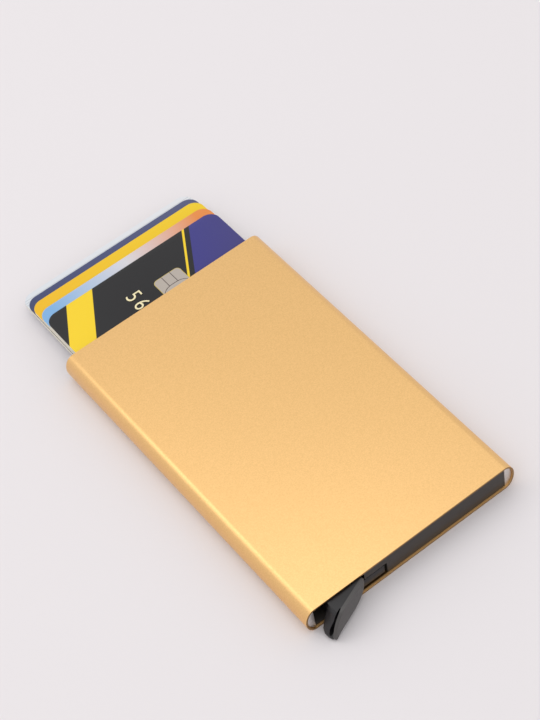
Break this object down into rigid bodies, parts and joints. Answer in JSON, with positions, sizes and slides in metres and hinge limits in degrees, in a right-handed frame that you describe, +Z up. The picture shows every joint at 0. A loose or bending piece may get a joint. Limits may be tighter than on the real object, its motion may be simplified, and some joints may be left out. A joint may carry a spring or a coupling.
{
  "type": "metal card holder",
  "caption": "Slim aluminium sleeve for bank cards with a stepped thumb lever in its lower end that fans the cards out of its mouth.",
  "frame": {"origin": "middle of the sleeve's lower plate, on its outer face", "axes": "+X across the width, away from the side with the thumb lever; +Y along the length, from the lever end to the card mouth; +Z up through the thickness"},
  "size_m": [0.062, 0.1329, 0.008],
  "materials": {
    "anodised_gold": "bead blasted and anodised gold",
    "moulded_black": "moulded, fine matt texture",
    "rail_aluminium": "drawn, ends cut square",
    "pin_steel": "turned",
    "grip_foam": "closed-cell foam",
    "card_black": "laminated, black with coloured areas",
    "card_sky": "laminated, sky blue to orange",
    "card_yellow": "laminated, yellow",
    "card_navy": "laminated, dark blue",
    "card_clear": "laminated, pale silver",
    "chip_contacts": "plated contacts, pale gold"
  },
  "bodies": {
    "holder": {"sleeve": "anodised_gold", "end_insert": "moulded_black", "side_rail_left": "rail_aluminium", "side_rail_right": "rail_aluminium", "pivot_pin": "pin_steel", "grip_pad_left": "grip_foam", "grip_pad_right": "grip_foam"},
    "lever": {"push_lever": "moulded_black", "thumb_pad": "moulded_black"},
    "card_1": {"card_1": "card_black", "card_1_chip": "chip_contacts"},
    "card_2": {"card_2": "card_sky"},
    "card_3": {"card_3": "card_yellow"},
    "card_4": {"card_4": "card_navy"},
    "card_5": {"card_5": "card_clear"}
  },
  "joints": [
    {"name": "lever_pivot", "type": "hinge", "parent": "holder", "child": "lever", "pos_m": [-0.0223, -0.0445, 0.004], "axis": [0, 0, 1], "range_deg": [0, 44]},
    {"name": "card_1_slide", "type": "slide", "parent": "holder", "child": "card_1", "axis": [0, 1, 0], "range_m": [-0.01598, 0.0641]},
    {"name": "card_2_slide", "type": "slide", "parent": "holder", "child": "card_2", "axis": [0, 1, 0], "range_m": [-0.01956, 0.0605]},
    {"name": "card_3_slide", "type": "slide", "parent": "holder", "child": "card_3", "axis": [0, 1, 0], "range_m": [-0.0236, 0.0565]},
    {"name": "card_4_slide", "type": "slide", "parent": "holder", "child": "card_4", "axis": [0, 1, 0], "range_m": [-0.02627, 0.0538]},
    {"name": "card_5_slide", "type": "slide", "parent": "holder", "child": "card_5", "axis": [0, 1, 0], "range_m": [-0.02873, 0.0514]}
  ]
}
